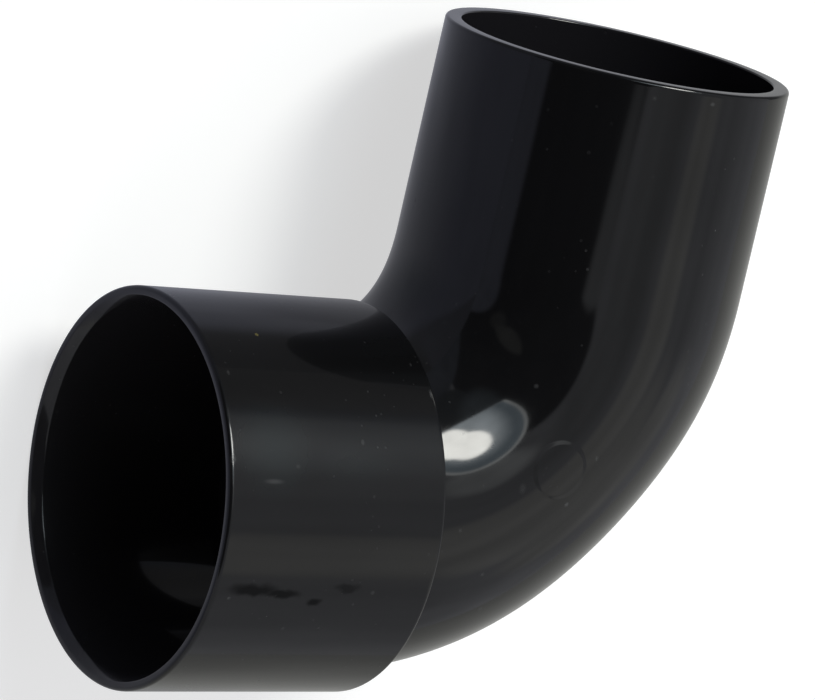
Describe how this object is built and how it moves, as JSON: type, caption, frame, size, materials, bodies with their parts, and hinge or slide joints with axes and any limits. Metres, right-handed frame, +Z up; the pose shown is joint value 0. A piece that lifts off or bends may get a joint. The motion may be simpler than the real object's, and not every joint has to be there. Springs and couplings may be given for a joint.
{
  "type": "street elbow",
  "caption": "Street elbow for solvent-weld waste pipe: a swept bend of nearly a right angle with a pipe socket at one end and a plain spigot at the other.",
  "frame": {"origin": "middle of the seat at the bottom of the socket, where a pipe's end comes to rest", "axes": "the elbow lies on its side: -X points out of the socket's mouth, the bend's plane is XY, the spigot leaves towards +Y, leaning 2.5 degrees towards +X, and +Z is up"},
  "size_m": [0.0794, 0.0825, 0.0484],
  "materials": {
    "gloss_black": "glossy black moulded plastic with faint dust and handling marks"
  },
  "bodies": {
    "root": {"street_elbow": "gloss_black"}
  },
  "joints": []
}
